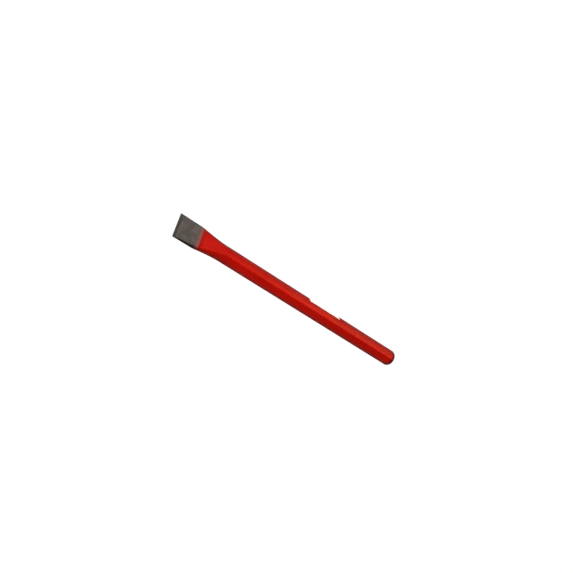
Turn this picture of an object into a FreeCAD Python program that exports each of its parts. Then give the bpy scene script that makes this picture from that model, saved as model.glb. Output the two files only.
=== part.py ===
import FreeCAD, Part
import math
import os
import Sketcher

# Cold chisel: one steel forging, its coat of enamel and its label.
# Inside each body, local X runs from the cutting edge (0) to the struck end along the bar's axis, and the broad
# faces of the blade look along +Z and -Z. The bodies are then placed so that the part's origin lies under the
# middle of the tool, on the surface that it rests on.

# Driving sizes in millimetres, except the angle in degrees and the plain powers: name, value, meaning.
SIZES = (
    ("overall_length", 300.0, "cutting edge to struck end, over the paint"),
    ("bar_across_flats", 15.7, "bare octagonal bar"),
    ("edge_width", 24.6, "blade width at the cutting edge"),
    ("root_width", 21.9, "blade width where the flare begins"),
    ("blade_length", 25.0, "cutting edge to the start of the flare"),
    ("flare_end", 56.0, "cutting edge to the full octagon"),
    ("root_thickness", 6.7, "blade thickness where the flare begins"),
    ("shoulder_thickness", 2.0, "blade thickness at the shoulder of the bevels"),
    ("edge_land", 0.2, "flat left on the cutting edge"),
    ("edge_angle", 60.0, "angle between the two bevels"),
    ("arris", 0.45, "small flat along each long corner of the blade"),
    ("blade_corner", 0.25, "radius of the blade's long corners"),
    ("bar_corner", 0.8, "radius of the bar's rolled corners"),
    ("spread_power", 1.6, "how fast the flare draws in"),
    ("rise_power", 1.1, "how fast the flare thickens"),
    ("facet_power", 1.3, "how fast the slanting facets open out"),
    ("head_radius", 4.0, "turned round on the struck end"),
    ("head_crown", 0.5, "height of the dome on the struck end"),
    ("film", 0.15, "paint thickness"),
    ("paint_start", 26.5, "cutting edge to the paint line"),
    ("label_start", 167.2, "cutting edge to the label"),
    ("label_length", 43.1, "label along the bar"),
    ("label_upper_gap", 0.15, "paint between the label and the corner of the top flat"),
    ("label_lower_gap", 0.6, "paint between the label and its facet's other corner"),
    ("label_corner", 0.6, "label's corner radius"),
    ("label_thickness", 0.12, "label film and its glue"),
)
FLARE_STEPS = 5
CUT_MARGIN = 2.0

doc = FreeCAD.newDocument("cold_chisel")
sheet = doc.addObject("Spreadsheet::Sheet", "Sizes")
for row, (name, amount, meaning) in enumerate(SIZES, start=1):
    sheet.set(f"A{row}", name)
    sheet.set(f"B{row}", str(amount))
    sheet.setAlias(f"B{row}", name)
    sheet.set(f"C{row}", meaning)
doc.recompute()

# Lengths that follow from the driving sizes. "grow" is what a skin adds to the steel: 0, or the film.
STEEL_END = "(Sizes.overall_length - Sizes.film)"
AXIS_HEIGHT = "(Sizes.bar_across_flats / 2 + Sizes.film)"
HALF_FACET = "tan(22.5 deg)"
SHOULDER = "((Sizes.shoulder_thickness - Sizes.edge_land) / 2 / tan(Sizes.edge_angle / 2 * 1 deg))"
TIP_THICKNESS = (
    "(Sizes.shoulder_thickness - (Sizes.root_thickness - Sizes.shoulder_thickness)"
    f" * {SHOULDER} / (Sizes.blade_length - {SHOULDER}))"
)


def evaluate(expression):
    """The present value of an expression, to draw a sketch near its final shape."""
    return float(sheet.evalExpression(expression))


def new_body(name):
    """A body that lies along the bar, placed in the part's frame."""
    body = doc.addObject("PartDesign::Body", name)
    body.Label = name
    body.setExpression(".Placement.Base.x", "-Sizes.overall_length / 2")
    body.setExpression(".Placement.Base.z", AXIS_HEIGHT)
    return body


def new_sketch(body, name, plane, offset="0"):
    """A sketch on one of its body's own origin planes, moved along that plane's normal."""
    sketch = body.newObject("Sketcher::SketchObject", name)
    support = [item for item in body.Origin.OriginFeatures if item.Role == plane][0]
    sketch.AttachmentSupport = [(support, "")]
    sketch.MapMode = "FlatFace"
    sketch.setExpression(".AttachmentOffset.Base.z", offset)
    return sketch


def drive(sketch, kind, place, expression):
    """Add a dimension to a sketch and bind it to an expression."""
    index = sketch.addConstraint(Sketcher.Constraint(kind, *place, evaluate(expression)))
    sketch.setExpression(f"Constraints[{index}]", expression)


def add_outline(sketch, corners):
    """Draw a closed outline of straight lines and join its corners."""
    points = [FreeCAD.Vector(across, up, 0) for across, up in corners]
    count = len(points)
    for index in range(count):
        sketch.addGeometry(Part.LineSegment(points[index], points[(index + 1) % count]))
    for index in range(count):
        sketch.addConstraint(Sketcher.Constraint("Coincident", index, 2, (index + 1) % count, 1))


def draw_section(body, name, station, half_width, half_height, half_top, half_side, corner):
    """An eight-sided section with rounded corners, across the bar and symmetric about both of its axes.

    half_top is half the flat on top and half_side is half the flat on the side, both measured to the sharp
    corners, so the four slanting facets run between (half_width, half_side) and (half_top, half_height).
    Line 2k is side k, arc 2k + 1 rounds the corner after it, and the sides run anticlockwise from the top.
    """
    sketch = new_sketch(body, name, "YZ_Plane", station)
    width, height, top, side = (evaluate(item) for item in (half_width, half_height, half_top, half_side))
    radius = evaluate(corner)
    upper = [(top, height), (-top, height), (-width, side), (-width, -side)]
    sharp = [FreeCAD.Vector(*place, 0) for place in upper]
    sharp += [-place for place in sharp]
    sides = len(sharp)
    starts, ends, middles = [], [], []
    for index, place in enumerate(sharp):
        back = (sharp[index - 1] - place).normalize()
        ahead = (sharp[(index + 1) % sides] - place).normalize()
        half_angle = back.getAngle(ahead) / 2
        inward = (back + ahead).normalize()
        ends.append(place + back * (radius / math.tan(half_angle)))
        starts.append(place + ahead * (radius / math.tan(half_angle)))
        middles.append(place + inward * (radius / math.sin(half_angle) - radius))
    for index in range(sides):
        after = (index + 1) % sides
        sketch.addGeometry(Part.LineSegment(starts[index], ends[after]))
        sketch.addGeometry(Part.Arc(ends[after], middles[after], starts[after]))
    pieces = 2 * sides
    for index in range(pieces):
        sketch.addConstraint(Sketcher.Constraint("Tangent", index, 2, (index + 1) % pieces, 1))
    for place in ((top, height), (width, side)):
        sketch.addGeometry(Part.Point(FreeCAD.Vector(*place, 0)), True)
    top_corner, side_corner = pieces, pieces + 1
    top_line, left_slant, lower_slant, right_slant, side_line, slant = 0, 2, 6, 10, 12, 14
    drive(sketch, "DistanceX", (-1, 1, top_corner, 1), half_top)
    drive(sketch, "DistanceY", (-1, 1, top_corner, 1), half_height)
    drive(sketch, "DistanceX", (-1, 1, side_corner, 1), half_width)
    drive(sketch, "DistanceY", (-1, 1, side_corner, 1), half_side)
    sketch.addConstraint(Sketcher.Constraint("Horizontal", top_line))
    sketch.addConstraint(Sketcher.Constraint("Vertical", side_line))
    sharp_on = ((top_corner, slant), (side_corner, slant), (top_corner, top_line), (side_corner, side_line))
    for point, line in sharp_on:
        sketch.addConstraint(Sketcher.Constraint("PointOnObject", point, 1, line))
    mirrored = ((slant, left_slant, -2), (slant, right_slant, -1), (left_slant, lower_slant, -1))
    for first, second, mirror in mirrored:
        sketch.addConstraint(Sketcher.Constraint("Symmetric", first, 1, second, 2, mirror))
        sketch.addConstraint(Sketcher.Constraint("Symmetric", first, 2, second, 1, mirror))
    drive(sketch, "Radius", (pieces - 1,), corner)
    for index in (3, 5, 7, 9, 13):
        sketch.addConstraint(Sketcher.Constraint("Equal", pieces - 1, index))
    return sketch


def flare_section(body, step, grow):
    """One section of the flare: step 0 is the blade's root and FLARE_STEPS is the full octagon."""
    share = f"{step} / {FLARE_STEPS}"
    left = f"(1 - {share})"
    bar = f"(Sizes.bar_across_flats / 2 + {grow})"
    facet = f"({bar} * {HALF_FACET})"
    root_half = f"(Sizes.root_width / 2 + {grow})"
    root_rise = f"(Sizes.root_thickness / 2 + {grow})"
    root_top = f"({root_half} - Sizes.arris - {grow} * (1 - {HALF_FACET}))"
    root_side = f"({root_rise} - Sizes.arris - {grow} * (1 - {HALF_FACET}))"
    return draw_section(
        body,
        f"{body.Name}_flare_{step}",
        f"Sizes.blade_length + (Sizes.flare_end - Sizes.blade_length) * {share}",
        f"{bar} + ({root_half} - {bar}) * pow({left}; Sizes.spread_power)",
        f"{root_rise} + ({bar} - {root_rise}) * pow({share}; Sizes.rise_power)",
        f"{facet} + ({root_top} - {facet}) * pow({left}; Sizes.facet_power)",
        f"{root_side} + ({facet} - {root_side}) * {share}",
        f"Sizes.blade_corner + (Sizes.bar_corner - Sizes.blade_corner) * {share} + {grow}",
    )


def loft(body, name, sections, ruled):
    """Join sections of the same body into one solid stretch."""
    stretch = body.newObject("PartDesign::AdditiveLoft", name)
    stretch.Profile = sections[0]
    stretch.Sections = sections[1:]
    stretch.Ruled = ruled
    return stretch


def add_bar_and_flare(body, grow):
    """The octagonal bar up to the struck end, then the flare that runs down to the blade's root."""
    sections = [flare_section(body, step, grow) for step in range(FLARE_STEPS + 1)]
    bar = body.newObject("PartDesign::Pad", f"{body.Name}_bar")
    bar.Profile = sections[-1]
    bar.setExpression("Length", f"{STEEL_END} + {grow} - Sizes.flare_end")
    doc.recompute()
    loft(body, f"{body.Name}_flare", sections, ruled=False)
    doc.recompute()
    return sections[0]


def add_blade(body, root, grow):
    """The wedge from the root of the blade to its tip, before the bevels."""
    tip_half = f"(Sizes.edge_width / 2 + {grow})"
    tip_rise = f"({TIP_THICKNESS} / 2 + {grow})"
    tip = draw_section(
        body,
        f"{body.Name}_tip",
        "0",
        tip_half,
        tip_rise,
        f"{tip_half} - Sizes.arris - {grow} * (1 - {HALF_FACET})",
        f"{tip_rise} - Sizes.arris - {grow} * (1 - {HALF_FACET})",
        f"Sizes.blade_corner + {grow}",
    )
    loft(body, f"{body.Name}_blade", [root, tip], ruled=True)
    doc.recompute()


def cut_through(body, sketch, name):
    """Pocket a sketch right through its body, both ways from the sketch's plane."""
    before = body.Shape.Volume
    pocket = body.newObject("PartDesign::Pocket", name)
    pocket.Profile = sketch
    pocket.Type = "ThroughAll"
    pocket.Midplane = True
    doc.recompute()
    if not body.Shape.Volume < before:
        raise RuntimeError(f"{name} cuts nothing")


def grind_bevels(body):
    """Two bevels that leave a narrow land along the cutting edge, one cut above it and one below."""
    slope = "tan(Sizes.edge_angle / 2 * 1 deg)"
    reach = f"({SHOULDER} + {CUT_MARGIN})"
    for side, name in ((1, "upper"), (-1, "lower")):
        sketch = new_sketch(body, f"{body.Name}_{name}_bevel_outline", "XZ_Plane")
        land = side * evaluate("Sizes.edge_land") / 2
        far = evaluate(reach)
        rise = land + side * far * evaluate(slope)
        add_outline(sketch, ((-CUT_MARGIN, land), (0, land), (far, rise), (-CUT_MARGIN, rise)))
        for kind, line in (("Horizontal", 0), ("Horizontal", 2), ("Vertical", 3)):
            sketch.addConstraint(Sketcher.Constraint(kind, line))
        sketch.addConstraint(Sketcher.Constraint("PointOnObject", 1, 1, -2))
        drive(sketch, "DistanceX", (0, 1, 1, 1), f"{CUT_MARGIN}")
        drive(sketch, "DistanceX", (1, 1, 2, 1), reach)
        lower, upper = ((-1, 1), (1, 1)) if side > 0 else ((1, 1), (-1, 1))
        drive(sketch, "DistanceY", (*lower, *upper), "Sizes.edge_land / 2")
        lower, upper = ((1, 1), (2, 1)) if side > 0 else ((2, 1), (1, 1))
        drive(sketch, "DistanceY", (*lower, *upper), f"{reach} * {slope}")
        cut_through(body, sketch, f"{body.Name}_{name}_bevel")


def turn_head(body, grow):
    """Turn the struck end: a round on its rim that runs into a low dome."""
    radius = f"(Sizes.head_radius + {grow})"
    rim = f"((Sizes.bar_across_flats / 2 + {grow}) / cos(22.5 deg))"
    end = f"({STEEL_END} + {grow})"
    at_end, at_rim, turn, crown = (evaluate(item) for item in (end, rim, radius, "Sizes.head_crown"))
    face = at_end - crown
    flat = at_rim - turn
    dome = (flat**2 + crown**2) / (2 * crown)
    points = {
        "rim": FreeCAD.Vector(face - turn, at_rim, 0),
        "rim_middle": FreeCAD.Vector(face - turn * (1 - 0.5**0.5), at_rim - turn * (1 - 0.5**0.5), 0),
        "face": FreeCAD.Vector(face, flat, 0),
        "dome": FreeCAD.Vector(at_end - dome + (dome**2 - flat**2 / 4) ** 0.5, flat / 2, 0),
        "centre": FreeCAD.Vector(at_end, 0, 0),
        "out": FreeCAD.Vector(at_end + CUT_MARGIN, 0, 0),
        "far": FreeCAD.Vector(at_end + CUT_MARGIN, at_rim + CUT_MARGIN, 0),
        "over": FreeCAD.Vector(face - turn, at_rim + CUT_MARGIN, 0),
    }
    sketch = new_sketch(body, f"{body.Name}_head_outline", "XZ_Plane")
    sketch.addGeometry(Part.Arc(points["rim"], points["rim_middle"], points["face"]))
    sketch.addGeometry(Part.Arc(points["face"], points["dome"], points["centre"]))
    sketch.addGeometry(Part.LineSegment(points["centre"], points["out"]))
    sketch.addGeometry(Part.LineSegment(points["out"], points["far"]))
    sketch.addGeometry(Part.LineSegment(points["far"], points["over"]))
    sketch.addGeometry(Part.LineSegment(points["over"], points["rim"]))
    # Both arcs come out of Part.Arc running anticlockwise, so each starts at its lower end.
    join = ((0, 1, 1, 2), (1, 1, 2, 1), (2, 2, 3, 1), (3, 2, 4, 1), (4, 2, 5, 1), (5, 2, 0, 2))
    for place in join:
        sketch.addConstraint(Sketcher.Constraint("Coincident", *place))
    sketch.addConstraint(Sketcher.Constraint("PointOnObject", 2, 1, -1))
    sketch.addConstraint(Sketcher.Constraint("PointOnObject", 1, 3, -1))
    for kind, line in (("Horizontal", 2), ("Vertical", 3), ("Horizontal", 4), ("Vertical", 5)):
        sketch.addConstraint(Sketcher.Constraint(kind, line))
    sketch.addConstraint(Sketcher.Constraint("Vertical", 0, 3, 0, 2))
    sketch.addConstraint(Sketcher.Constraint("Horizontal", 0, 3, 0, 1))
    drive(sketch, "Radius", (0,), radius)
    drive(sketch, "DistanceX", (-1, 1, 2, 1), end)
    drive(sketch, "DistanceX", (0, 1, 2, 1), "Sizes.head_crown")
    drive(sketch, "DistanceY", (-1, 1, 0, 2), rim)
    drive(sketch, "DistanceX", (2, 1, 2, 2), f"{CUT_MARGIN}")
    drive(sketch, "DistanceY", (5, 2, 5, 1), f"{CUT_MARGIN}")
    doc.recompute()
    before = body.Shape.Volume
    groove = body.newObject("PartDesign::Groove", f"{body.Name}_head")
    groove.Profile = sketch
    groove.ReferenceAxis = (sketch, ["H_Axis"])
    groove.Angle = 360
    doc.recompute()
    if not body.Shape.Volume < before:
        raise RuntimeError(f"{groove.Name} cuts nothing")


def trim_to_paint_line(body):
    """Cut away all of a body between the cutting edge and the paint line."""
    sketch = new_sketch(body, f"{body.Name}_paint_line", "XZ_Plane")
    reach = "Sizes.root_width"
    line, half = evaluate("Sizes.paint_start"), evaluate(reach)
    add_outline(sketch, ((0, -half), (line, -half), (line, half), (0, half)))
    for kind, side in (("Horizontal", 0), ("Vertical", 1), ("Horizontal", 2)):
        sketch.addConstraint(Sketcher.Constraint(kind, side))
    sketch.addConstraint(Sketcher.Constraint("PointOnObject", 0, 1, -2))
    sketch.addConstraint(Sketcher.Constraint("PointOnObject", 3, 1, -2))
    drive(sketch, "DistanceX", (0, 1, 1, 1), "Sizes.paint_start")
    drive(sketch, "DistanceY", (0, 1, -1, 1), reach)
    drive(sketch, "DistanceY", (-1, 1, 3, 1), reach)
    cut_through(body, sketch, f"{body.Name}_trim")


def make_forging():
    """The steel: bar, flare, ground blade, bevelled edge and turned head in one piece."""
    body = new_body("chisel_forging")
    root = add_bar_and_flare(body, "0")
    add_blade(body, root, "0")
    grind_bevels(body)
    turn_head(body, "0")
    return body


def make_coat(forging):
    """The enamel: the steel's own shape grown by the film, less the steel inside it and the bare end."""
    envelope = new_body("coat_envelope")
    root = add_bar_and_flare(envelope, "Sizes.film")
    add_blade(envelope, root, "Sizes.film")
    turn_head(envelope, "Sizes.film")
    trim_to_paint_line(envelope)
    coat = doc.addObject("Part::Cut", "paint_coat")
    coat.Label = "paint_coat"
    coat.Base = envelope
    coat.Tool = forging
    doc.recompute()
    return coat


def make_label():
    """The strip on the facet that slopes down from the top flat towards +Y."""
    body = doc.addObject("PartDesign::Body", "label")
    body.Label = "label"
    sketch = new_sketch(body, "label_outline", "XY_Plane")
    painted = "(Sizes.bar_across_flats / 2 + Sizes.film)"
    above = f"({painted} * {HALF_FACET} - Sizes.label_upper_gap)"
    below = f"({painted} * {HALF_FACET} - Sizes.label_lower_gap)"
    top, bottom = evaluate(above), -evaluate(below)
    start = evaluate("Sizes.label_start")
    end = start + evaluate("Sizes.label_length")
    add_outline(sketch, ((start, bottom), (end, bottom), (end, top), (start, top)))
    for kind, side in (("Horizontal", 0), ("Vertical", 1), ("Horizontal", 2), ("Vertical", 3)):
        sketch.addConstraint(Sketcher.Constraint(kind, side))
    drive(sketch, "DistanceX", (-1, 1, 0, 1), "Sizes.label_start")
    drive(sketch, "DistanceX", (0, 1, 1, 1), "Sizes.label_length")
    drive(sketch, "DistanceY", (0, 1, -1, 1), below)
    drive(sketch, "DistanceY", (-1, 1, 3, 1), above)
    strip = body.newObject("PartDesign::Pad", "label_strip")
    strip.Profile = sketch
    strip.setExpression("Length", "Sizes.label_thickness")
    doc.recompute()
    corners = body.newObject("PartDesign::Fillet", "label_corners")
    upright = [
        f"Edge{index}"
        for index, edge in enumerate(strip.Shape.Edges, start=1)
        if abs(edge.tangentAt(edge.FirstParameter).z) > 0.5
    ]
    corners.Base = (strip, upright)
    corners.setExpression("Radius", "Sizes.label_corner")
    # The strip's own +Y points up its facet, which faces halfway between +Y and +Z.
    body.Placement.Rotation = FreeCAD.Rotation(FreeCAD.Vector(1, 0, 0), -45)
    body.setExpression(".Placement.Base.x", "-Sizes.overall_length / 2")
    body.setExpression(".Placement.Base.y", f"{painted} * sin(45 deg)")
    body.setExpression(".Placement.Base.z", f"{AXIS_HEIGHT} + {painted} * cos(45 deg)")
    doc.recompute()
    return body


def check_and_write(pieces):
    """Stop at any failed object or bad solid, then write one STEP file for each piece."""
    for item in doc.Objects:
        if {"Invalid", "Error"} & set(item.State):
            raise RuntimeError(f"{item.Name} failed: {item.State}")
    for piece in pieces:
        if piece.Shape.isNull() or not piece.Shape.isValid() or len(piece.Shape.Solids) != 1:
            raise RuntimeError(f"{piece.Label} is not one valid solid")
    os.makedirs("parts", exist_ok=True)
    for piece in pieces:
        piece.Shape.exportStep(f"parts/{piece.Label}.step")
        box = piece.Shape.BoundBox
        print(piece.Label, round(piece.Shape.Volume, 3), box)


forging = make_forging()
coat = make_coat(forging)
label = make_label()
check_and_write([forging, coat, label])
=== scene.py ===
"""Cold chisel: forged octagonal bar with a ground wedge blade, a coat of red enamel and a blank label.

Lengths in the dataclasses below are millimetres unless they say otherwise. Local stations run from the
cutting edge (0) to the struck end, and every mesh is written in metres in the part's own frame.
"""

import logging
import math
from dataclasses import dataclass, field
from enum import Enum

import bmesh
import bpy
from mathutils import Matrix, Vector


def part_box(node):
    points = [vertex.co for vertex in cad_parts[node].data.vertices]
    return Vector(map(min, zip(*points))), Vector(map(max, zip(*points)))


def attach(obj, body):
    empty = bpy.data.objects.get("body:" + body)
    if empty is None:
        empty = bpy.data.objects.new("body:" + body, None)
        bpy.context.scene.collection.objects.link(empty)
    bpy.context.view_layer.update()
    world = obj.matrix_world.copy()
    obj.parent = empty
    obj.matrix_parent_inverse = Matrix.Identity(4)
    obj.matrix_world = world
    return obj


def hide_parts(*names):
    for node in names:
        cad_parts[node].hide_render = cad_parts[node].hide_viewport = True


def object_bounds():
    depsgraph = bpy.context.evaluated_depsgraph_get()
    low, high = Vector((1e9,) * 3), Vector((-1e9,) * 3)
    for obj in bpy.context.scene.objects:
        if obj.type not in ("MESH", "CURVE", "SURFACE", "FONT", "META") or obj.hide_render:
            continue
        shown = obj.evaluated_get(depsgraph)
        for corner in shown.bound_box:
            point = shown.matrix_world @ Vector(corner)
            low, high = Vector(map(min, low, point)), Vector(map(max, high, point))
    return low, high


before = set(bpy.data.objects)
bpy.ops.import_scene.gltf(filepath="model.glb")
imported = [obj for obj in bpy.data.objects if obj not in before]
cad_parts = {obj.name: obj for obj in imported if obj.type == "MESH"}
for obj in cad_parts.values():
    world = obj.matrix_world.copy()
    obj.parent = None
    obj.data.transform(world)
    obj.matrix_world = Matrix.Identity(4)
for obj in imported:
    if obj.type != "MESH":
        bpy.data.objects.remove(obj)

log = logging.getLogger("cold_chisel")
MM = 0.001
RIGHT_ANGLE = math.pi / 2
CAD_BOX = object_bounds()


# ---------------------------------------------------------------------------------------------------------
# Node work
# ---------------------------------------------------------------------------------------------------------


class Signal:
    """A number, vector or colour on its way through a node tree, open to ordinary arithmetic."""

    def __init__(self, bench: "Bench", socket: bpy.types.NodeSocket) -> None:
        """Wrap a socket.

        Args:
            bench: The bench that adds nodes to the socket's tree.
            socket: The output socket to carry.
        """
        self.bench = bench
        self.socket = socket

    def math(self, operation: str, *others: "Signal | float", first: bool = True) -> "Signal":
        """Add one Math node.

        Args:
            operation: The Math node's operation.
            others: The other operands, in order.
            first: Whether this signal is the first operand. If not, it comes after the others.

        Returns:
            The node's result.
        """
        operands = (self, *others) if first else (*others, self)
        return self.bench.node("ShaderNodeMath", {"operation": operation}, dict(enumerate(operands)))

    def __add__(self, other: "Signal | float") -> "Signal":
        """self + other."""
        return self.math("ADD", other)

    def __sub__(self, other: "Signal | float") -> "Signal":
        """self - other."""
        return self.math("SUBTRACT", other)

    def __rsub__(self, other: float) -> "Signal":
        """other - self."""
        return self.math("SUBTRACT", other, first=False)

    def __mul__(self, other: "Signal | float") -> "Signal":
        """self * other."""
        return self.math("MULTIPLY", other)

    def __truediv__(self, other: "Signal | float") -> "Signal":
        """self / other."""
        return self.math("DIVIDE", other)

    def __pow__(self, other: "Signal | float") -> "Signal":
        """self ** other."""
        return self.math("POWER", other)

    __radd__ = __add__
    __rmul__ = __mul__

    def share(self, low: "Signal | float", high: "Signal | float") -> "Signal":
        """How far this signal has come from low to high, held between 0 and 1.

        Args:
            low: The value that gives 0.
            high: The value that gives 1.

        Returns:
            The held share.
        """
        return self.bench.node(
            "ShaderNodeMapRange",
            {"clamp": True},
            {"Value": self, "From Min": low, "From Max": high, "To Min": 0.0, "To Max": 1.0},
        )


class Bench:
    """Adds nodes to one tree, for materials and for geometry alike."""

    def __init__(self, tree: bpy.types.NodeTree) -> None:
        """Take a tree to work on.

        Args:
            tree: A material's or a geometry tree.
        """
        self.tree = tree

    def node(
        self,
        kind: str,
        settings: dict[str, object] | None = None,
        sockets: dict[str | int, object] | None = None,
        out: str | int = 0,
    ) -> Signal:
        """Add a node, set it up, fill its sockets and return one of its outputs.

        Args:
            kind: The node's type.
            settings: Its properties, set first.
            sockets: Values or signals for its inputs, by name or number.
            out: The output to return, by name or number.

        Returns:
            The chosen output.
        """
        made = self.tree.nodes.new(kind)
        for name, value in (settings or {}).items():
            setattr(made, name, value)
        for key, value in (sockets or {}).items():
            if isinstance(value, Signal):
                self.tree.links.new(value.socket, made.inputs[key])
            else:
                made.inputs[key].default_value = value
        return Signal(self, made.outputs[out])

    def vector(self, x: Signal | float, y: Signal | float, z: Signal | float) -> Signal:
        """Three numbers as one vector."""
        return self.node("ShaderNodeCombineXYZ", sockets={0: x, 1: y, 2: z})

    def axes(self, vector: Signal) -> tuple[Signal, Signal, Signal]:
        """The three numbers of a vector."""
        parts = [self.node("ShaderNodeSeparateXYZ", sockets={0: vector}, out=index) for index in range(3)]
        return parts[0], parts[1], parts[2]

    def noise(self, place: Signal, scale: float, detail: float = 2.0, seed: float = 0.0) -> Signal:
        """Soft noise between 0 and 1.

        Args:
            place: Where to read it.
            scale: Its frequency, per unit of place.
            detail: How many finer layers it has.
            seed: Which noise, as its fourth coordinate.

        Returns:
            The noise.
        """
        return self.node(
            "ShaderNodeTexNoise",
            {"noise_dimensions": "4D"},
            {"Vector": place, "W": seed, "Scale": scale, "Detail": detail},
        )

    def mix(self, amount: Signal | float, start: Signal | tuple, end: Signal | tuple) -> Signal:
        """Blend two colours.

        Args:
            amount: 0 for the first, 1 for the second.
            start: The first colour.
            end: The second colour.

        Returns:
            The blend.
        """
        return self.node("ShaderNodeMix", {"data_type": "RGBA"}, {0: amount, 6: start, 7: end}, out=2)


# ---------------------------------------------------------------------------------------------------------
# Sizes
# ---------------------------------------------------------------------------------------------------------

# Half a facet's width, and the distance out to a corner, where an octagon's flats lie 1 from its axis.
OCTAGON_HALF_FACET = math.tan(math.radians(22.5))
OCTAGON_RIM = 1 / math.cos(math.radians(22.5))


@dataclass
class ChiselSizes:
    """The chisel's sizes: what the frame can tell is read from it, the rest follows the forging's design."""

    length: float = (CAD_BOX[1].x - CAD_BOX[0].x) / MM
    film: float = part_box("chisel_forging")[0].z / MM
    half_bar: float = (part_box("chisel_forging")[1].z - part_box("chisel_forging")[0].z) / MM / 2
    edge_half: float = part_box("chisel_forging")[1].y / MM
    paint_start: float = (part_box("paint_coat")[0].x - CAD_BOX[0].x) / MM
    label_start: float = (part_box("label")[0].x - CAD_BOX[0].x) / MM
    label_end: float = (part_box("label")[1].x - CAD_BOX[0].x) / MM
    root_half: float = 10.95
    root_rise: float = 3.35
    shoulder_rise: float = 1.0
    land_rise: float = 0.1
    blade_length: float = 25.0
    flare_end: float = 56.0
    arris: float = 0.45
    blade_corner: float = 0.25
    bar_corner: float = 0.8
    spread_power: float = 1.6
    rise_power: float = 1.1
    facet_power: float = 1.3
    head_radius: float = 4.0
    head_crown: float = 0.5
    bevel_degrees: float = 30.0
    wave: float = 0.07
    paint_wobble: float = 0.3

    @property
    def bevel_slope(self) -> float:
        """Rise of a bevel for each millimetre back from the edge."""
        return math.tan(math.radians(self.bevel_degrees))

    @property
    def bevel_length(self) -> float:
        """How far back from the edge the bevels reach."""
        return (self.shoulder_rise - self.land_rise) / self.bevel_slope

    @property
    def tip_rise(self) -> float:
        """Half the thickness that the broad faces would have at the edge, had they no bevels."""
        slope = (self.root_rise - self.shoulder_rise) / (self.blade_length - self.bevel_length)
        return self.shoulder_rise - slope * self.bevel_length

    @property
    def head_start(self) -> float:
        """Station where the turned round of the struck end begins."""
        return self.length - self.film - self.head_crown - self.head_radius

    @property
    def axis_height(self) -> float:
        """Height of the bar's axis above the surface it lies on."""
        return self.half_bar + self.film

    def inputs(self) -> dict[str, float]:
        """The named inputs that the geometry trees take, and their values."""
        return {
            "Half Bar": self.half_bar,
            "Edge Half Width": self.edge_half,
            "Root Half Width": self.root_half,
            "Root Rise": self.root_rise,
            "Tip Rise": self.tip_rise,
            "Land Rise": self.land_rise,
            "Bevel Slope": self.bevel_slope,
            "Bevel Length": self.bevel_length,
            "Blade Length": self.blade_length,
            "Flare End": self.flare_end,
            "Arris": self.arris,
            "Blade Corner": self.blade_corner,
            "Bar Corner": self.bar_corner,
            "Spread Power": self.spread_power,
            "Rise Power": self.rise_power,
            "Facet Power": self.facet_power,
            "Head Start": self.head_start,
            "Head Radius": self.head_radius,
            "Head Crown": self.head_crown,
            "Paint Start": self.paint_start,
            "Paint Wobble": self.paint_wobble,
            "Film": self.film,
            "Wave": self.wave,
        }


# ---------------------------------------------------------------------------------------------------------
# Geometry trees
# ---------------------------------------------------------------------------------------------------------


class Skin(Enum):
    """Which surface a sweep of the chisel's section makes."""

    STEEL = "steel"
    ENAMEL = "enamel"


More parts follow.
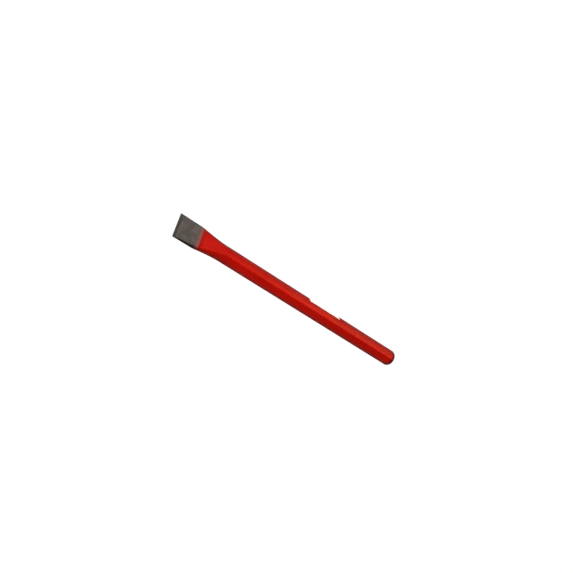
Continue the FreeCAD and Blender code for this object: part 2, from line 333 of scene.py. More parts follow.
@dataclass
class Sweep:
    """A geometry tree that carries the rolled, flared and ground section along the bar and closes it off.

    Lengths are millimetres, except weld_metres. The cell counts are for one quarter of the section.
    """

    sizes: ChiselSizes
    skin: Skin
    material: bpy.types.Material
    side_cells: int = 4
    corner_cells: int = 4
    slant_cells: int = 8
    top_cells: int = 8
    head_softness: float = 0.25
    inner_gap: float = 0.01
    lip_length: float = 0.4
    bead_length: float = 1.8
    bead_height: float = 0.05
    wobble_circle: float = 1.3
    wobble_seed: float = 10.0
    wave_pitch: float = 0.11
    wave_circle: float = 0.9
    wave_seed: float = 7.0
    wave_rise: float = 6.0
    wave_fall: float = 30.0
    wave_calm: float = 0.6
    least_reach: float = 1e-6
    weld_metres: float = 2e-6
    sharp_degrees: float = 21.0
    given: dict[str, Signal] = field(default_factory=dict)

    def stretches(self) -> dict[str, int]:
        """How many rings of cells each stretch of the surface has, in order."""
        if self.skin is Skin.STEEL:
            return {"cap": 1, "bevel": 5, "blade": 44, "flare": 31, "bar": 60, "round": 14, "crown": 5}
        return {"inner": 54, "lip": 6, "flare": 60, "bar": 120, "round": 28, "crown": 8}

    def open_tree(self) -> tuple[Bench, bpy.types.NodeTree]:
        """Make the tree and its named inputs.

        Returns:
            A bench on the tree, and the tree.
        """
        tree = bpy.data.node_groups.new(f"{self.skin.value}_sweep", "GeometryNodeTree")
        for name in self.sizes.inputs():
            tree.interface.new_socket(name=name, in_out="INPUT", socket_type="NodeSocketFloat")
        tree.interface.new_socket(name="Geometry", in_out="OUTPUT", socket_type="NodeSocketGeometry")
        bench = Bench(tree)
        group = tree.nodes.new("NodeGroupInput")
        self.given = {name: Signal(bench, group.outputs[name]) for name in self.sizes.inputs()}
        return bench, tree

    def meridian(self, ring: Signal, around: Signal) -> tuple[Signal, Signal, Signal, Signal]:
        """Where each ring lies along the bar, how far out it may reach, and how much paint it carries.

        Args:
            ring: The ring's number.
            around: The share of the way round the section, for the paint line's wobble.

        Returns:
            Station, largest radius, whether the ring is turned (0 or 1), and growth over the bare steel.
        """
        given, counts = self.given, self.stretches()
        begin, starts = 0, {}
        for name, count in counts.items():
            starts[name] = begin
            begin += count

        def stretch(name: str, at: Signal) -> Signal:
            """The share of a stretch that lies behind this ring."""
            return at.share(float(starts[name]), float(starts[name] + counts[name]))

        at = ring
        if self.skin is Skin.STEEL:
            growth = ring * 0.0
            station = given["Bevel Length"] * stretch("bevel", at)
            station = station + (given["Blade Length"] - given["Bevel Length"]) * stretch("blade", at)
            station = station + (given["Flare End"] - given["Blade Length"]) * stretch("flare", at)
        else:
            outer_start = starts["flare"]
            outer_rings = begin - outer_start
            going_back = 1 - ring.share(0.0, float(counts["inner"]))
            at = ring.math("MAXIMUM", float(outer_start)) + going_back * float(outer_rings)
            lip = stretch("lip", ring) * RIGHT_ANGLE
            wobble = self.around_noise(ring * 0.0, around, self.wobble_circle, self.wobble_seed) - 0.5
            line = given["Paint Start"] + given["Paint Wobble"] * 2.0 * wobble
            start = line + self.lip_length * (1 - lip.math("COSINE"))
            station = start + (given["Flare End"] - start) * stretch("flare", at)
            bead = (station.share(line, line + self.bead_length) * math.pi).math("SINE") * self.bead_height
            growth = self.inner_gap + (given["Film"] - self.inner_gap + bead) * lip.math("SINE")
        station = station + (given["Head Start"] - given["Flare End"]) * stretch("bar", at)
        turned = stretch("round", at)
        angle = turned * RIGHT_ANGLE
        crown = stretch("crown", at)
        radius = given["Head Radius"] + growth
        rim = (given["Half Bar"] + growth) * OCTAGON_RIM
        station = station + radius * angle.math("SINE")
        station = station + given["Head Crown"] * (1 - (1 - crown) ** 2.0)
        limit = rim - radius * (1 - angle.math("COSINE")) - (rim - radius) * crown
        return station, limit, turned.math("GREATER_THAN", 0.0), growth

    def around_noise(self, station: Signal, around: Signal, reach: float, seed: float) -> Signal:
        """Noise that closes on itself round the bar.

        Args:
            station: Distance along the bar, in the noise's own unit.
            around: Share of the way round.
            reach: Radius of the noise's circle, in the same unit.
            seed: Which noise.

        Returns:
            The noise, 0 to 1.
        """
        angle = around * math.tau
        place = station.bench.vector(station, angle.math("COSINE") * reach, angle.math("SINE") * reach)
        return station.bench.noise(place, 1.0, seed=seed)

    def wave_depth(self, station: Signal) -> Signal:
        """How deep the forging's unevenness is at a station: none on the ground blade, most on the flare.

        Args:
            station: Distance from the cutting edge.

        Returns:
            The depth in millimetres.
        """
        given = self.given
        forged = station.share(given["Blade Length"], given["Blade Length"] + self.wave_rise)
        rolled = station.share(given["Flare End"], given["Flare End"] + self.wave_fall)
        return given["Wave"] * forged * (1 - rolled * self.wave_calm)

    def section(self, station: Signal, around: Signal, growth: Signal) -> tuple[Signal, Signal, Signal]:
        """The outline of the section, an octagon of flats, slanting facets and rolled corners.

        Args:
            station: Distance from the cutting edge.
            around: Share of the way round, from +Y over the top.
            growth: What the surface adds to the bare steel.

        Returns:
            Across, up, and how nearly the point is on a rolled corner (0 to 1).
        """
        given = self.given
        flare = station.share(given["Blade Length"], given["Flare End"])
        left = 1 - flare
        wedge = 1 - station.share(0.0, given["Blade Length"])
        bar, root, rise = given["Half Bar"], given["Root Half Width"], given["Root Rise"]
        facet = bar * OCTAGON_HALF_FACET
        widening = (given["Edge Half Width"] - root) * wedge
        thinning = (given["Tip Rise"] - rise) * wedge
        corner_growth = growth * OCTAGON_HALF_FACET
        width = bar + (root - bar) * left ** given["Spread Power"] + widening + growth
        height = rise + (bar - rise) * flare ** given["Rise Power"] + thinning + growth
        top = facet + (root - given["Arris"] - facet) * left ** given["Facet Power"]
        top = top + widening + corner_growth
        side = (rise - given["Arris"]) + (facet - rise + given["Arris"]) * flare + thinning + corner_growth
        corner = given["Blade Corner"] + (given["Bar Corner"] - given["Blade Corner"]) * flare + growth

        run, climb = width - top, height - side
        slant = run.math("ARCTAN2", climb)
        side_trim = corner * (slant / 2).math("TANGENT")
        top_trim = corner * ((RIGHT_ANGLE - slant) / 2).math("TANGENT")
        slant_length = (run * run + climb * climb).math("SQRT") - side_trim - top_trim

        quarter = around * 4.0
        turn = 1 - (1 - quarter.math("FLOORED_MODULO", 2.0)).math("ABSOLUTE")
        cells = (self.side_cells, self.corner_cells, self.slant_cells, self.corner_cells, self.top_cells)
        stops = [sum(cells[:index]) / sum(cells) for index in range(len(cells) + 1)]
        on_side, on_lower, on_slant, on_upper, on_top = (
            turn.share(stops[index], stops[index + 1]) for index in range(len(cells))
        )
        lower = slant * on_lower
        upper = slant + (RIGHT_ANGLE - slant) * on_upper
        across = width - corner * (1 - lower.math("COSINE")) - slant.math("SINE") * slant_length * on_slant
        across = across + corner * (upper.math("COSINE") - slant.math("COSINE")) - (top - top_trim) * on_top
        up = (side - side_trim) * on_side + corner * lower.math("SINE")
        up = up + slant.math("COSINE") * slant_length * on_slant
        up = up + corner * (upper.math("SINE") - slant.math("SINE"))
        up = up.math("MINIMUM", given["Land Rise"] + growth + station * given["Bevel Slope"])
        rolled = 4.0 * (on_lower * (1 - on_lower) + on_upper * (1 - on_upper))
        whole_turn = around * math.tau
        across = across * whole_turn.math("COSINE").math("SIGN")
        up = up * whole_turn.math("SINE").math("SIGN")
        return across, up, rolled

    def build_tree(self) -> bpy.types.NodeTree:
        """Build the whole tree.

        Returns:
            The tree, ready for a modifier.
        """
        bench, tree = self.open_tree()
        rings = sum(self.stretches().values())
        cells = 4 * (self.side_cells + 2 * self.corner_cells + self.slant_cells + self.top_cells)
        grid = bench.node(
            "GeometryNodeMeshGrid",
            sockets={"Size X": 1.0, "Size Y": 1.0, "Vertices X": rings + 1, "Vertices Y": cells + 1},
        )
        place = bench.node("GeometryNodeInputPosition")
        along, sideways, _ = bench.axes(place)
        ring = ((along + 0.5) * float(rings)).math("ROUND")
        around = ((0.5 - sideways) * float(cells)).math("ROUND") / float(cells)
        station, limit, turned, growth = self.meridian(ring, around)
        wave = self.around_noise(station * self.wave_pitch, around, self.wave_circle, self.wave_seed)
        wave = wave * self.wave_depth(station)
        across, up, rolled = self.section(station, around, growth - wave)
        reach = (across * across + up * up).math("SQRT").math("MAXIMUM", self.least_reach)
        held = reach.math("SMOOTH_MIN", limit, self.head_softness) / reach
        scale = 1 - turned * (1 - held)
        if self.skin is Skin.STEEL:
            up = up * ring.math("GREATER_THAN", 0.5)
        moved = bench.vector(
            (station - self.sizes.length / 2) * MM,
            across * scale * MM,
            (up * scale + self.sizes.axis_height) * MM,
        )
        stored = bench.node(
            "GeometryNodeStoreNamedAttribute",
            {"data_type": "FLOAT", "domain": "POINT"},
            {"Geometry": grid, "Name": "rolled", "Value": rolled * (1 - turned)},
        )
        shaped = bench.node("GeometryNodeSetPosition", sockets={"Geometry": stored, "Position": moved})
        closed = bench.node(
            "GeometryNodeMergeByDistance", sockets={"Geometry": shaped, "Distance": self.weld_metres}
        )
        smooth = bench.node("GeometryNodeSetShadeSmooth", sockets={"Geometry": closed, "Shade Smooth": True})
        real = bench.node("GeometryNodeRealizeInstances", sockets={"Geometry": smooth})
        dressed = bench.node("GeometryNodeSetMaterial", sockets={"Geometry": real, "Material": self.material})
        output = tree.nodes.new("NodeGroupOutput")
        tree.links.new(dressed.socket, output.inputs["Geometry"])
        return tree

    def make_piece(self, name: str) -> bpy.types.Object:
        """Run the tree and keep its result as a plain mesh.

        Args:
            name: The piece's name.

        Returns:
            The piece, at the origin with its place in its mesh.
        """
        tree = self.build_tree()
        carrier = bpy.data.objects.new(f"{name}_carrier", bpy.data.meshes.new(f"{name}_carrier"))
        bpy.context.scene.collection.objects.link(carrier)
        modifier = carrier.modifiers.new("sweep", "NODES")
        modifier.node_group = tree
        for item in tree.interface.items_tree:
            if item.in_out == "INPUT":
                modifier[item.identifier] = self.sizes.inputs()[item.name]
        graph = bpy.context.evaluated_depsgraph_get()
        mesh = bpy.data.meshes.new_from_object(carrier.evaluated_get(graph))
        bpy.data.objects.remove(carrier)
        mesh.name = name
        mesh.set_sharp_from_angle(angle=math.radians(self.sharp_degrees))
        piece = bpy.data.objects.new(name, mesh)
        bpy.context.scene.collection.objects.link(piece)
        return piece


# ---------------------------------------------------------------------------------------------------------
# Finishes
# ---------------------------------------------------------------------------------------------------------

Colour = tuple[float, float, float, float]
Band = tuple[float, float]


@dataclass(frozen=True)
class Pattern:
    """Soft noise over a piece, with its scale or its stretch along X, Y and Z given per metre."""

    seed: float
    scale: float = 1.0
    detail: float = 2.0
    stretch: tuple[float, float, float] | None = None

    def over(self, bench: Bench, place: Signal) -> Signal:
        """Lay the pattern over a piece.

        Args:
            bench: The material's bench.
            place: The piece's own coordinates in metres.

        Returns:
            The noise, 0 to 1.
        """
        if self.stretch is not None:
            place = bench.node("ShaderNodeVectorMath", {"operation": "MULTIPLY"}, {0: place, 1: self.stretch})
        return bench.noise(place, self.scale, self.detail, self.seed)


@dataclass(frozen=True)
class Finish:
    """What every finish shares: a name, an empty material to fill, a bumped normal and the way out of it."""

    name: str

    def start(self) -> tuple[bpy.types.Material, Bench, Signal]:
        """Make an empty material.

        Returns:
            The material, a bench on its tree, and the piece's own coordinates in metres.
        """
        material = bpy.data.materials.new(self.name)
        material.use_nodes = True
        material.node_tree.nodes.clear()
        bench = Bench(material.node_tree)
        place = bench.node("ShaderNodeTexCoord", out="Object")
        return material, bench, place

    @staticmethod
    def bump(bench: Bench, height: Signal, strength: float, metres: float) -> Signal:
        """Turn a height into a bumped normal.

        Args:
            bench: The material's bench.
            height: The height, 0 to 1.
            strength: How much of it shows.
            metres: The depth of a height of 1.

        Returns:
            The normal.
        """
        sockets = {"Strength": strength, "Distance": metres, "Height": height}
        return bench.node("ShaderNodeBump", sockets=sockets, out="Normal")

    @staticmethod
    def end(bench: Bench, surface: Signal) -> None:
        """Send a surface to the material's output.

        Args:
            bench: The material's bench.
            surface: The shader to show.
        """
        output = bench.tree.nodes.new("ShaderNodeOutputMaterial")
        bench.tree.links.new(surface.socket, output.inputs["Surface"])


@dataclass(frozen=True)
class GroundSteel(Finish):
    """Dull, dark ground steel with fine lines across the blade, faint heat tints, a dusting of overspray, and
    painted shade that darkens the blade's sides and its bevel.

    Bands are in millimetres, except those that name the part of a pattern that shows.
    """

    sizes: ChiselSizes
    light: Colour = (0.172, 0.162, 0.150, 1.0)
    bright: Colour = (0.25, 0.24, 0.22, 1.0)
    # Dark steel, used for the ground lines and for the painted shade on the blade's sides and bevel.
    dark: Colour = (0.048, 0.045, 0.040, 1.0)
    tint_warm: Colour = (0.125, 0.098, 0.112, 1.0)
    tint_cool: Colour = (0.092, 0.112, 0.100, 1.0)
    dust: Colour = (0.30, 0.068, 0.052, 1.0)
    cloud: Pattern = Pattern(seed=1.0, scale=160.0, detail=3.0)
    lines: Pattern = Pattern(seed=2.0, stretch=(5200.0, 90.0, 900.0))
    coarse: Pattern = Pattern(seed=3.0, detail=1.0, stretch=(1500.0, 45.0, 300.0))
    grain: Pattern = Pattern(seed=4.0, scale=4200.0)
    speckle: Pattern = Pattern(seed=5.0, scale=2600.0)
    score: Pattern = Pattern(seed=6.0, detail=1.0, stretch=(2600.0, 28.0, 400.0))
    heat: Pattern = Pattern(seed=9.0, scale=120.0, detail=1.0)
    score_shows: Band = (0.66, 0.74)
    warm_shows: Band = (0.35, 0.62)
    cool_shows: Band = (0.5, 0.72)
    cool_amount: float = 0.8
    lines_show: Band = (0.40, 0.64)
    lines_amount: float = 0.45
    score_amount: float = 0.5
    # Painted shade: bands in from the blade's sides where its colour is darkened.
    rim_shade_band: Band = (1.6, 0.3)
    rim_shade_least: float = 0.75
    bevel_band: Band = (-0.15, 2.0)
    dust_reach: float = 5.0
    dust_power: float = 1.3
    dust_least: float = 0.55
    dust_shows: Band = (0.28, 0.72)
    metal: float = 0.75
    metal_lost: float = 0.7
    dull: float = 0.46
    dull_cloud: float = 0.16
    dull_lines: float = 0.10
    dull_bevel: float = 0.14
    lines_height: float = 0.6
    coarse_height: float = 0.3
    grain_height: float = 0.25
    score_depth: float = 0.5
    bump_strength: float = 0.35
    bump_metres: float = 0.00006

    def material(self) -> bpy.types.Material:
        """Build the material."""
        material, bench, place = self.start()
        sizes = self.sizes
        x, y, _ = bench.axes(place)
        station = x / MM + sizes.length / 2
        cloud = self.cloud.over(bench, place)
        lines = self.lines.over(bench, place)
        coarse = self.coarse.over(bench, place)
        grain = self.grain.over(bench, place)
        score = self.score.over(bench, place).share(*self.score_shows)
        heat = self.heat.over(bench, place).share(*self.cool_shows)
        speckle = self.speckle.over(bench, place).share(*self.dust_shows)

        taper = (sizes.edge_half - sizes.root_half) / sizes.blade_length
        half = sizes.edge_half - station * taper
        # Painted shade along the blade's sides, mottled by the cloud.
        rim = (y / MM).math("ABSOLUTE").share(half - self.rim_shade_band[0], half - self.rim_shade_band[1])
        rim = rim * (self.rim_shade_least + (1 - self.rim_shade_least) * cloud)
        bevel_end = sizes.bevel_length
        bevel = 1 - station.share(bevel_end + self.bevel_band[0], bevel_end + self.bevel_band[1])
        near_paint = station.share(sizes.paint_start - self.dust_reach, sizes.paint_start)
        dusting = near_paint ** self.dust_power * (self.dust_least + (1 - self.dust_least) * speckle)

        colour = bench.mix(cloud.share(*self.warm_shows), self.light, self.tint_warm)
        colour = bench.mix(heat * self.cool_amount, colour, self.tint_cool)
        ground = (coarse * 0.5 + lines * 0.5).share(*self.lines_show)
        colour = bench.mix(ground * self.lines_amount, colour, self.dark)
        colour = bench.mix(score * self.score_amount, colour, self.bright)
        # Painted shade: the blade's sides and its bevel take the dark colour.
        colour = bench.mix(rim.math("MAXIMUM", bevel), colour, self.dark)
        colour = bench.mix(dusting, colour, self.dust)

        height = lines * self.lines_height + coarse * self.coarse_height + grain * self.grain_height
        height = height - score * self.score_depth
        dull = self.dull + self.dull_cloud * cloud + self.dull_lines * lines + self.dull_bevel * bevel
        surface = bench.node(
            "ShaderNodeBsdfPrincipled",
            sockets={
                "Base Color": colour,
                "Metallic": self.metal - self.metal_lost * dusting,
                "Roughness": dull,
                "Normal": self.bump(bench, height, self.bump_strength, self.bump_metres),
            },
        )
        self.end(bench, surface)
        return material


@dataclass(frozen=True)
class RedEnamel(Finish):
    """Dipped red enamel: a soft gloss with orange peel, thin on the rolled corners and thick at its edge.

    Painted shade darkens it towards +Y, along the flare's sides, on the flare's broad faces and round the
    struck end. It is darker just inside the paint line, and dried matt at the line.
    Bands are in millimetres, except those that name the part of a pattern that shows.
    """

    sizes: ChiselSizes
    body: Colour = (0.59, 0.0065, 0.0018, 1.0)
    # Deeper red, used for random tone and for the painted shade on the flare's broad faces.
    deep_tone_and_shade: Colour = (0.40, 0.0045, 0.0015, 1.0)
    thin: Colour = (0.56, 0.022, 0.008, 1.0)
    # Darker red, used as painted shade along the flare's sides and for the darker band just inside the paint
    # line.
    dark_band_and_shade: Colour = (0.24, 0.0045, 0.0020, 1.0)
    # Darker red for the painted shade towards +Y.
    shade_towards_plus_y: Colour = (0.33, 0.0045, 0.0018, 1.0)
    # Near-black red for the painted shade round the struck end.
    struck: Colour = (0.10, 0.0060, 0.0040, 1.0)
    bruised: Colour = (0.13, 0.075, 0.065, 1.0)
    cloud: Pattern = Pattern(seed=11.0, stretch=(38.0, 110.0, 110.0))
    peel: Pattern = Pattern(seed=12.0, scale=620.0, detail=1.0)
    fine: Pattern = Pattern(seed=13.0, scale=2400.0)
    rub: Pattern = Pattern(seed=14.0, detail=3.0, stretch=(70.0, 600.0, 600.0))
    nib_scale: float = 210.0
    nib_shows: Band = (0.03, 0.12)
    deep_shows: Band = (0.36, 0.68)
    deep_amount: float = 0.5
    thin_least: float = 0.25
    thin_fine: float = 0.35
    plus_y_shade_on_bar: Band = (-1.6, 4.6)
    plus_y_shade_shift: Band = (6.5, 6.0)
    side_shade_band: Band = (3.0, 0.6)
    side_shade_fades: Band = (-6.0, 14.0)
    side_shade_least: float = 0.40
    side_plus_y_shade: float = 0.55
    line_band: Band = (1.0, 5.0)
    line_amount: float = 0.85
    broad_shade_band: Band = (-0.6, 0.2)
    broad_shade_fades: Band = (-2.0, 6.0)
    broad_shade_amount: float = 0.55
    matt_band: Band = (0.6, 2.2)
    rub_wander: float = 2.4
    fine_wander: float = 1.2
    # Painted shade: the band round the struck end that is darkened.
    head_shade_band: Band = (-2.8, 0.8)
    head_shade_amount: float = 0.95
    bruise_band: Band = (3.6, 4.8)
    bruise_shows: Band = (0.50, 0.62)
    bruise_amount: float = 0.6
    gloss: float = 0.28
    gloss_rub: float = 0.12
    gloss_cloud: float = 0.05
    gloss_matt: float = 0.3
    rub_shows: Band = (0.45, 0.75)
    mirror: float = 0.3
    peel_height: float = 0.8
    fine_height: float = 0.12
    nib_height: float = 0.5
    bump_strength: float = 0.40
    bump_metres: float = 0.00014

    def material(self) -> bpy.types.Material:
        """Build the material."""
        material, bench, place = self.start()
        sizes = self.sizes
        x, y, _ = bench.axes(place)
        station, across = x / MM + sizes.length / 2, y / MM
        off_axis = across.math("ABSOLUTE")
        rolled = bench.node("ShaderNodeAttribute", {"attribute_name": "rolled"}, out="Fac")
        cloud = self.cloud.over(bench, place)
        peel = self.peel.over(bench, place)
        fine = self.fine.over(bench, place)
        rub = self.rub.over(bench, place)

        def from_station(mark: float, band: Band) -> Signal:
            """How far the station is through a band that is counted from a mark."""
            return station.share(mark + band[0], mark + band[1])

        left = 1 - station.share(sizes.blade_length, sizes.flare_end)
        half = sizes.half_bar + (sizes.root_half - sizes.half_bar) * left ** sizes.spread_power
        facet = sizes.half_bar * OCTAGON_HALF_FACET
        top = facet + (sizes.root_half - sizes.arris - facet) * left ** sizes.facet_power
        # Painted shade: the enamel darkens across the bar towards +Y.
        low, high = (edge + shift * left for edge, shift in zip(self.plus_y_shade_on_bar, self.plus_y_shade_shift))
        shade_towards_plus_y = across.share(low, high)
        # Painted shade along the flare's sides, stronger towards +Y.
        side = off_axis.share(half - self.side_shade_band[0], half - self.side_shade_band[1])
        side = side * (1 - from_station(sizes.flare_end, self.side_shade_fades))
        # Painted shade on the flare's broad, upward faces.
        broad = 1 - off_axis.share(top + self.broad_shade_band[0], top + self.broad_shade_band[1])
        broad = broad * (1 - from_station(sizes.flare_end, self.broad_shade_fades))
        line = 1 - from_station(sizes.paint_start, self.line_band)
        matt = 1 - from_station(sizes.paint_start, self.matt_band)
        side = side * (self.side_shade_least + self.side_plus_y_shade * shade_towards_plus_y)
        # Painted shade on the flare's sides, joined with a darker band just inside the paint line.
        darkening_and_shade = side.math("MAXIMUM", line * self.line_amount)

        colour = bench.mix(cloud.share(*self.deep_shows) * self.deep_amount, self.body, self.deep_tone_and_shade)
        colour = bench.mix(rolled * (self.thin_least + self.thin_fine * fine), colour, self.thin)
        # Painted shade towards +Y.
        colour = bench.mix(shade_towards_plus_y, colour, self.shade_towards_plus_y)
        # Painted shade on the flare's broad faces.
        colour = bench.mix(broad * self.broad_shade_amount, colour, self.deep_tone_and_shade)
        # Painted shade on the flare's sides, and the darker band at the paint line.
        colour = bench.mix(darkening_and_shade, colour, self.dark_band_and_shade)
        ragged_station = station + self.rub_wander * (rub - 0.5) + self.fine_wander * (fine - 0.5)
        head = sizes.head_start
        # Painted shade round the struck end, with a ragged edge.
        struck = ragged_station.share(head + self.head_shade_band[0], head + self.head_shade_band[1])
        colour = bench.mix(struck * self.head_shade_amount, colour, self.struck)
        bruise = ragged_station.share(head + self.bruise_band[0], head + self.bruise_band[1])
        bruise = bruise * rub.share(*self.bruise_shows)
        colour = bench.mix(bruise * self.bruise_amount, colour, self.bruised)

        sockets = {"Vector": place, "Scale": self.nib_scale}
        nibs = bench.node("ShaderNodeTexVoronoi", sockets=sockets, out="Distance")
        height = peel * self.peel_height + fine * self.fine_height
        height = height + (1 - nibs.share(*self.nib_shows)) * self.nib_height
        worn = self.gloss_rub * rub.share(*self.rub_shows)
        surface = bench.node(
            "ShaderNodeBsdfPrincipled",
            sockets={
                "Base Color": colour,
                "Roughness": self.gloss + worn + self.gloss_cloud * cloud + self.gloss_matt * matt,
                "Specular IOR Level": self.mirror,
                "Normal": self.bump(bench, height, self.bump_strength, self.bump_metres),
            },
        )
        self.end(bench, surface)
        return material


@dataclass(frozen=True)
class LabelFilm(Finish):
    """Blank white label film: a fine tooth, a slight yellowing at the cut edges, and a faint bluish emission
    that paints light on it to keep it white.
    """

    white: Colour = (0.93, 0.93, 0.92, 1.0)
    aged: Colour = (0.84, 0.82, 0.77, 1.0)
    # Tint of the painted light the label gives off.
    glow: Colour = (0.80, 0.92, 1.0, 1.0)
    painted_light_strength: float = 0.16
    tooth: Pattern = Pattern(seed=21.0, scale=5200.0, detail=3.0)
    cloud: Pattern = Pattern(seed=22.0, scale=260.0)
    aged_shows: Band = (0.55, 0.8)
    aged_border: float = 0.6
    aged_cloud: float = 0.12
    dull: float = 0.50
    dull_cloud: float = 0.12
    bump_strength: float = 0.25
    bump_metres: float = 0.00003

    def material(self) -> bpy.types.Material:
        """Build the material."""
        material, bench, place = self.start()
        tooth = self.tooth.over(bench, place)
        cloud = self.cloud.over(bench, place)
        border = bench.node("ShaderNodeAttribute", {"attribute_name": "border"}, out="Fac")
        yellowing = border * self.aged_border + cloud.share(*self.aged_shows) * self.aged_cloud
        surface = bench.node(
            "ShaderNodeBsdfPrincipled",
            sockets={
                "Base Color": bench.mix(yellowing, self.white, self.aged),
                "Roughness": self.dull + self.dull_cloud * cloud,
                "Normal": self.bump(bench, tooth, self.bump_strength, self.bump_metres),
                # Painted light: a faint bluish emission brightens the label.
                "Emission Color": self.glow,
                "Emission Strength": self.painted_light_strength,
            },
        )
        self.end(bench, surface)
        return material


@dataclass(frozen=True)
class FloorPaper(Finish):
    """The studio's white paper, lit from behind, with a little of its own shade left in."""

    glow: float = 0.92
    shade: Colour = (0.20, 0.20, 0.20, 1.0)
    white: Colour = (1.0, 1.0, 1.0, 1.0)
    strength: float = 1.12

    def material(self) -> bpy.types.Material:
        """Build the material."""
        material, bench, _ = self.start()
        paper = bench.node("ShaderNodeBsdfDiffuse", sockets={"Color": self.shade})
        lit = bench.node("ShaderNodeEmission", sockets={"Color": self.white, "Strength": self.strength})
        seen = bench.node("ShaderNodeLightPath", out="Is Camera Ray")
        surface = bench.node("ShaderNodeMixShader", sockets={0: seen * self.glow, 1: paper, 2: lit})
        self.end(bench, surface)
        return material


# ---------------------------------------------------------------------------------------------------------
# The chisel
# ---------------------------------------------------------------------------------------------------------


@dataclass
class Forging:
    """The steel, from its ground edge to the struck end under the paint."""

    sizes: ChiselSizes

    def build(self) -> bpy.types.Object:
        """Make the forging and put it in the CAD solid's place."""
        steel = GroundSteel("ground_steel", self.sizes).material()
        piece = Sweep(self.sizes, Skin.STEEL, steel).make_piece("ground_forging")
        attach(piece, "root")
        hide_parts("chisel_forging")
        return piece


@dataclass
class EnamelCoat:
    """The closed skin of enamel, with a rounded, slightly wandering edge across the blade."""

    sizes: ChiselSizes

    def build(self) -> bpy.types.Object:
        """Make the coat and put it in the CAD solid's place."""
        enamel = RedEnamel("red_enamel", self.sizes).material()
        piece = Sweep(self.sizes, Skin.ENAMEL, enamel).make_piece("enamel_coat")
        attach(piece, "root")
        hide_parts("paint_coat")
        return piece


@dataclass
class BlankLabel:
    """The strip of label film on the facet that slopes from the top flat towards +Y."""

    sizes: ChiselSizes
    thickness: float = 0.12
    upper_gap: float = 0.15
    lower_gap: float = 0.6
    corner: float = 0.6
    corner_steps: int = 6
    edge_round: float = 0.03
    edge_share: float = 0.3
    border: float = 0.35
    clearance: float = 0.004
    facet_degrees: float = 45.0
    sharp_degrees: float = 40.0

    def outline(self, inset: float) -> list[tuple[float, float]]:
        """The strip's outline, anticlockwise, drawn in by a distance.

        Args:
            inset: How far inside the cut edge to draw, in millimetres.

        Returns:
            Points as (along the bar, up the facet).
        """
        half_facet = self.sizes.axis_height * OCTAGON_HALF_FACET
        low, high = -half_facet + self.lower_gap + inset, half_facet - self.upper_gap - inset
        start, end = self.sizes.label_start + inset, self.sizes.label_end - inset
        radius = self.corner - inset
        centres = ((end - radius, high - radius), (start + radius, high - radius))
        centres += ((start + radius, low + radius), (end - radius, low + radius))
        points = []
        for quarter, (centre_along, centre_up) in enumerate(centres):
            for step in range(self.corner_steps + 1):
                angle = RIGHT_ANGLE * (quarter + step / self.corner_steps)
                points.append((centre_along + radius * math.cos(angle), centre_up + radius * math.sin(angle)))
        return points

    def build(self) -> bpy.types.Object:
        """Make the strip with softened cut edges and put it in the CAD solid's place."""
        softened = self.edge_round * self.edge_share
        layers = (
            (0.0, 0.0),
            (0.0, self.thickness - self.edge_round),
            (softened, self.thickness - softened),
            (self.edge_round, self.thickness),
            (self.border, self.thickness),
        )
        work = bmesh.new()
        loops = []
        for inset, height in layers:
            loops.append([work.verts.new((along, up, height)) for along, up in self.outline(inset)])
        count = len(loops[0])
        for lower, upper in zip(loops, loops[1:]):
            for index in range(count):
                after = (index + 1) % count
                work.faces.new((lower[index], lower[after], upper[after], upper[index]))
        work.faces.new(loops[-1])
        work.faces.new(list(reversed(loops[0])))
        mesh = bpy.data.meshes.new("blank_label")
        work.to_mesh(mesh)
        work.free()
        border = mesh.attributes.new("border", "FLOAT", "POINT")
        border.data.foreach_set("value", [1.0] * count * (len(layers) - 1) + [0.0] * count)
        painted = self.sizes.axis_height
        turn = Matrix.Rotation(math.radians(-self.facet_degrees), 4, "X")
        lift = Matrix.Translation((0, 0, painted + self.clearance))
        home = Matrix.Translation((-self.sizes.length / 2, 0, painted))
        mesh.transform(Matrix.Scale(MM, 4) @ home @ turn @ lift)
        mesh.shade_smooth()
        mesh.set_sharp_from_angle(angle=math.radians(self.sharp_degrees))
        mesh.materials.append(LabelFilm("label_film").material())
        piece = bpy.data.objects.new("blank_label", mesh)
        bpy.context.scene.collection.objects.link(piece)
        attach(piece, "root")
        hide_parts("label")
        return piece


# ---------------------------------------------------------------------------------------------------------
# Studio
# ---------------------------------------------------------------------------------------------------------


@dataclass(frozen=True)
class Lamp:
    """A soft square light that faces the part: its place and side in metres, its power in watts, its tint."""

    name: str
    at: tuple[float, float, float]
    side: float
    power: float
    tint: tuple[float, float, float]
    mirrored: bool = True


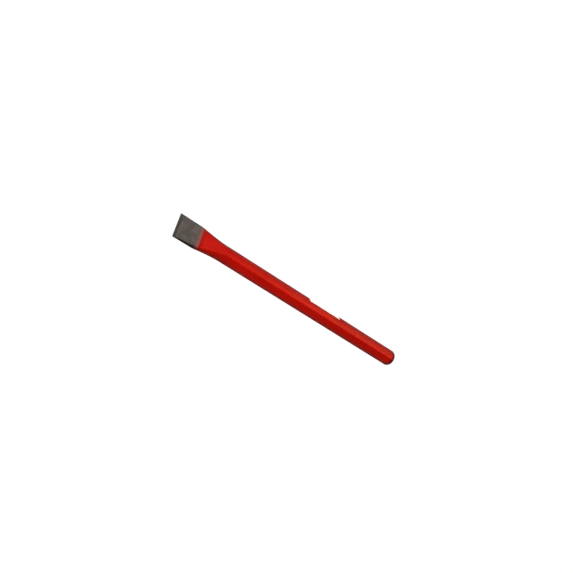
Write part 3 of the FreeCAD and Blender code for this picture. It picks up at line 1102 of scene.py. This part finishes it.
@dataclass
class Studio:
    """Pale floor, soft lights and the camera. Lengths are metres, but the lens and sensor are millimetres."""

    lamps: tuple[Lamp, ...] = (
        Lamp("key_box", (-2.10, 1.30, 3.00), 2.2, 205.0, (1.0, 0.93, 0.87)),
        Lamp("front_fill", (-0.4, -1.05, 0.09), 0.3, 5.4, (1.0, 0.95, 0.92), mirrored=False),
        Lamp("glint_box", (1.20, 0.64, 1.38), 0.5, 2.0, (1.0, 0.60, 0.34)),
    )

    eye: tuple[float, float, float] = (-0.48888, -0.32449, 0.70184)
    right: tuple[float, float, float] = (0.71732, 0.29189, 0.63266)
    up: tuple[float, float, float] = (-0.45541, 0.88362, 0.10868)
    back: tuple[float, float, float] = (-0.52731, -0.36608, 0.76677)
    lens: float = 56.62
    sensor: float = 36.0
    nearest: float = 0.01
    floor_size: float = 8.0
    dim_sky: float = 0.02
    white_sky: float = 1.05
    sky_tint: Colour = (1.0, 1.0, 1.0, 1.0)

    def lay_floor(self) -> None:
        """Lay the floor under the part."""
        half = self.floor_size / 2
        mesh = bpy.data.meshes.new("studio_floor")
        corners = [(-half, -half, 0), (half, -half, 0), (half, half, 0), (-half, half, 0)]
        mesh.from_pydata(corners, [], [(0, 1, 2, 3)])
        mesh.materials.append(FloorPaper("floor_paper").material())
        floor = bpy.data.objects.new("studio_floor", mesh)
        bpy.context.scene.collection.objects.link(floor)

    def set_sky(self) -> None:
        """Put a white backdrop all round, which gives the chisel only a dim, even light."""
        world = bpy.data.worlds.new("studio_sky")
        world.use_nodes = True
        world.node_tree.nodes.clear()
        bench = Bench(world.node_tree)
        seen = bench.node("ShaderNodeLightPath", out="Is Camera Ray")
        strength = self.dim_sky + (self.white_sky - self.dim_sky) * seen
        sky = bench.node("ShaderNodeBackground", sockets={"Color": self.sky_tint, "Strength": strength})
        output = world.node_tree.nodes.new("ShaderNodeOutputWorld")
        world.node_tree.links.new(sky.socket, output.inputs["Surface"])
        bpy.context.scene.world = world

    def hang(self, lamp: Lamp) -> None:
        """Hang a lamp.

        Args:
            lamp: The lamp. Gloss shows it only if it is mirrored.
        """
        data = bpy.data.lights.new(lamp.name, "AREA")
        data.shape = "SQUARE"
        data.size = lamp.side
        data.energy = lamp.power
        data.color = lamp.tint
        light = bpy.data.objects.new(lamp.name, data)
        light.location = lamp.at
        light.visible_glossy = lamp.mirrored
        light.rotation_mode = "QUATERNION"
        light.rotation_quaternion = (-Vector(lamp.at)).to_track_quat("-Z", "Y")
        bpy.context.scene.collection.objects.link(light)

    def place_camera(self) -> None:
        """Put the camera at its station."""
        data = bpy.data.cameras.new("studio_camera")
        data.lens = self.lens
        data.sensor_width = self.sensor
        data.clip_start = self.nearest
        camera = bpy.data.objects.new("studio_camera", data)
        turn = Matrix((self.right, self.up, self.back)).transposed().to_4x4()
        camera.matrix_world = Matrix.Translation(self.eye) @ turn
        bpy.context.scene.collection.objects.link(camera)
        bpy.context.scene.camera = camera

    def build(self) -> None:
        """Set up the whole studio."""
        bpy.context.scene.view_settings.view_transform = "Standard"
        self.lay_floor()
        self.set_sky()
        for lamp in self.lamps:
            self.hang(lamp)
        self.place_camera()


def main() -> None:
    """Build the chisel and its studio, piece by piece."""
    logging.basicConfig(level=logging.INFO, format="%(name)s: %(message)s")
    sizes = ChiselSizes()
    for assembly in (Forging(sizes), EnamelCoat(sizes), BlankLabel(sizes)):
        piece = assembly.build()
        log.info("%s: %d faces", piece.name, len(piece.data.polygons))
    Studio().build()


if __name__ == "__main__":
    main()
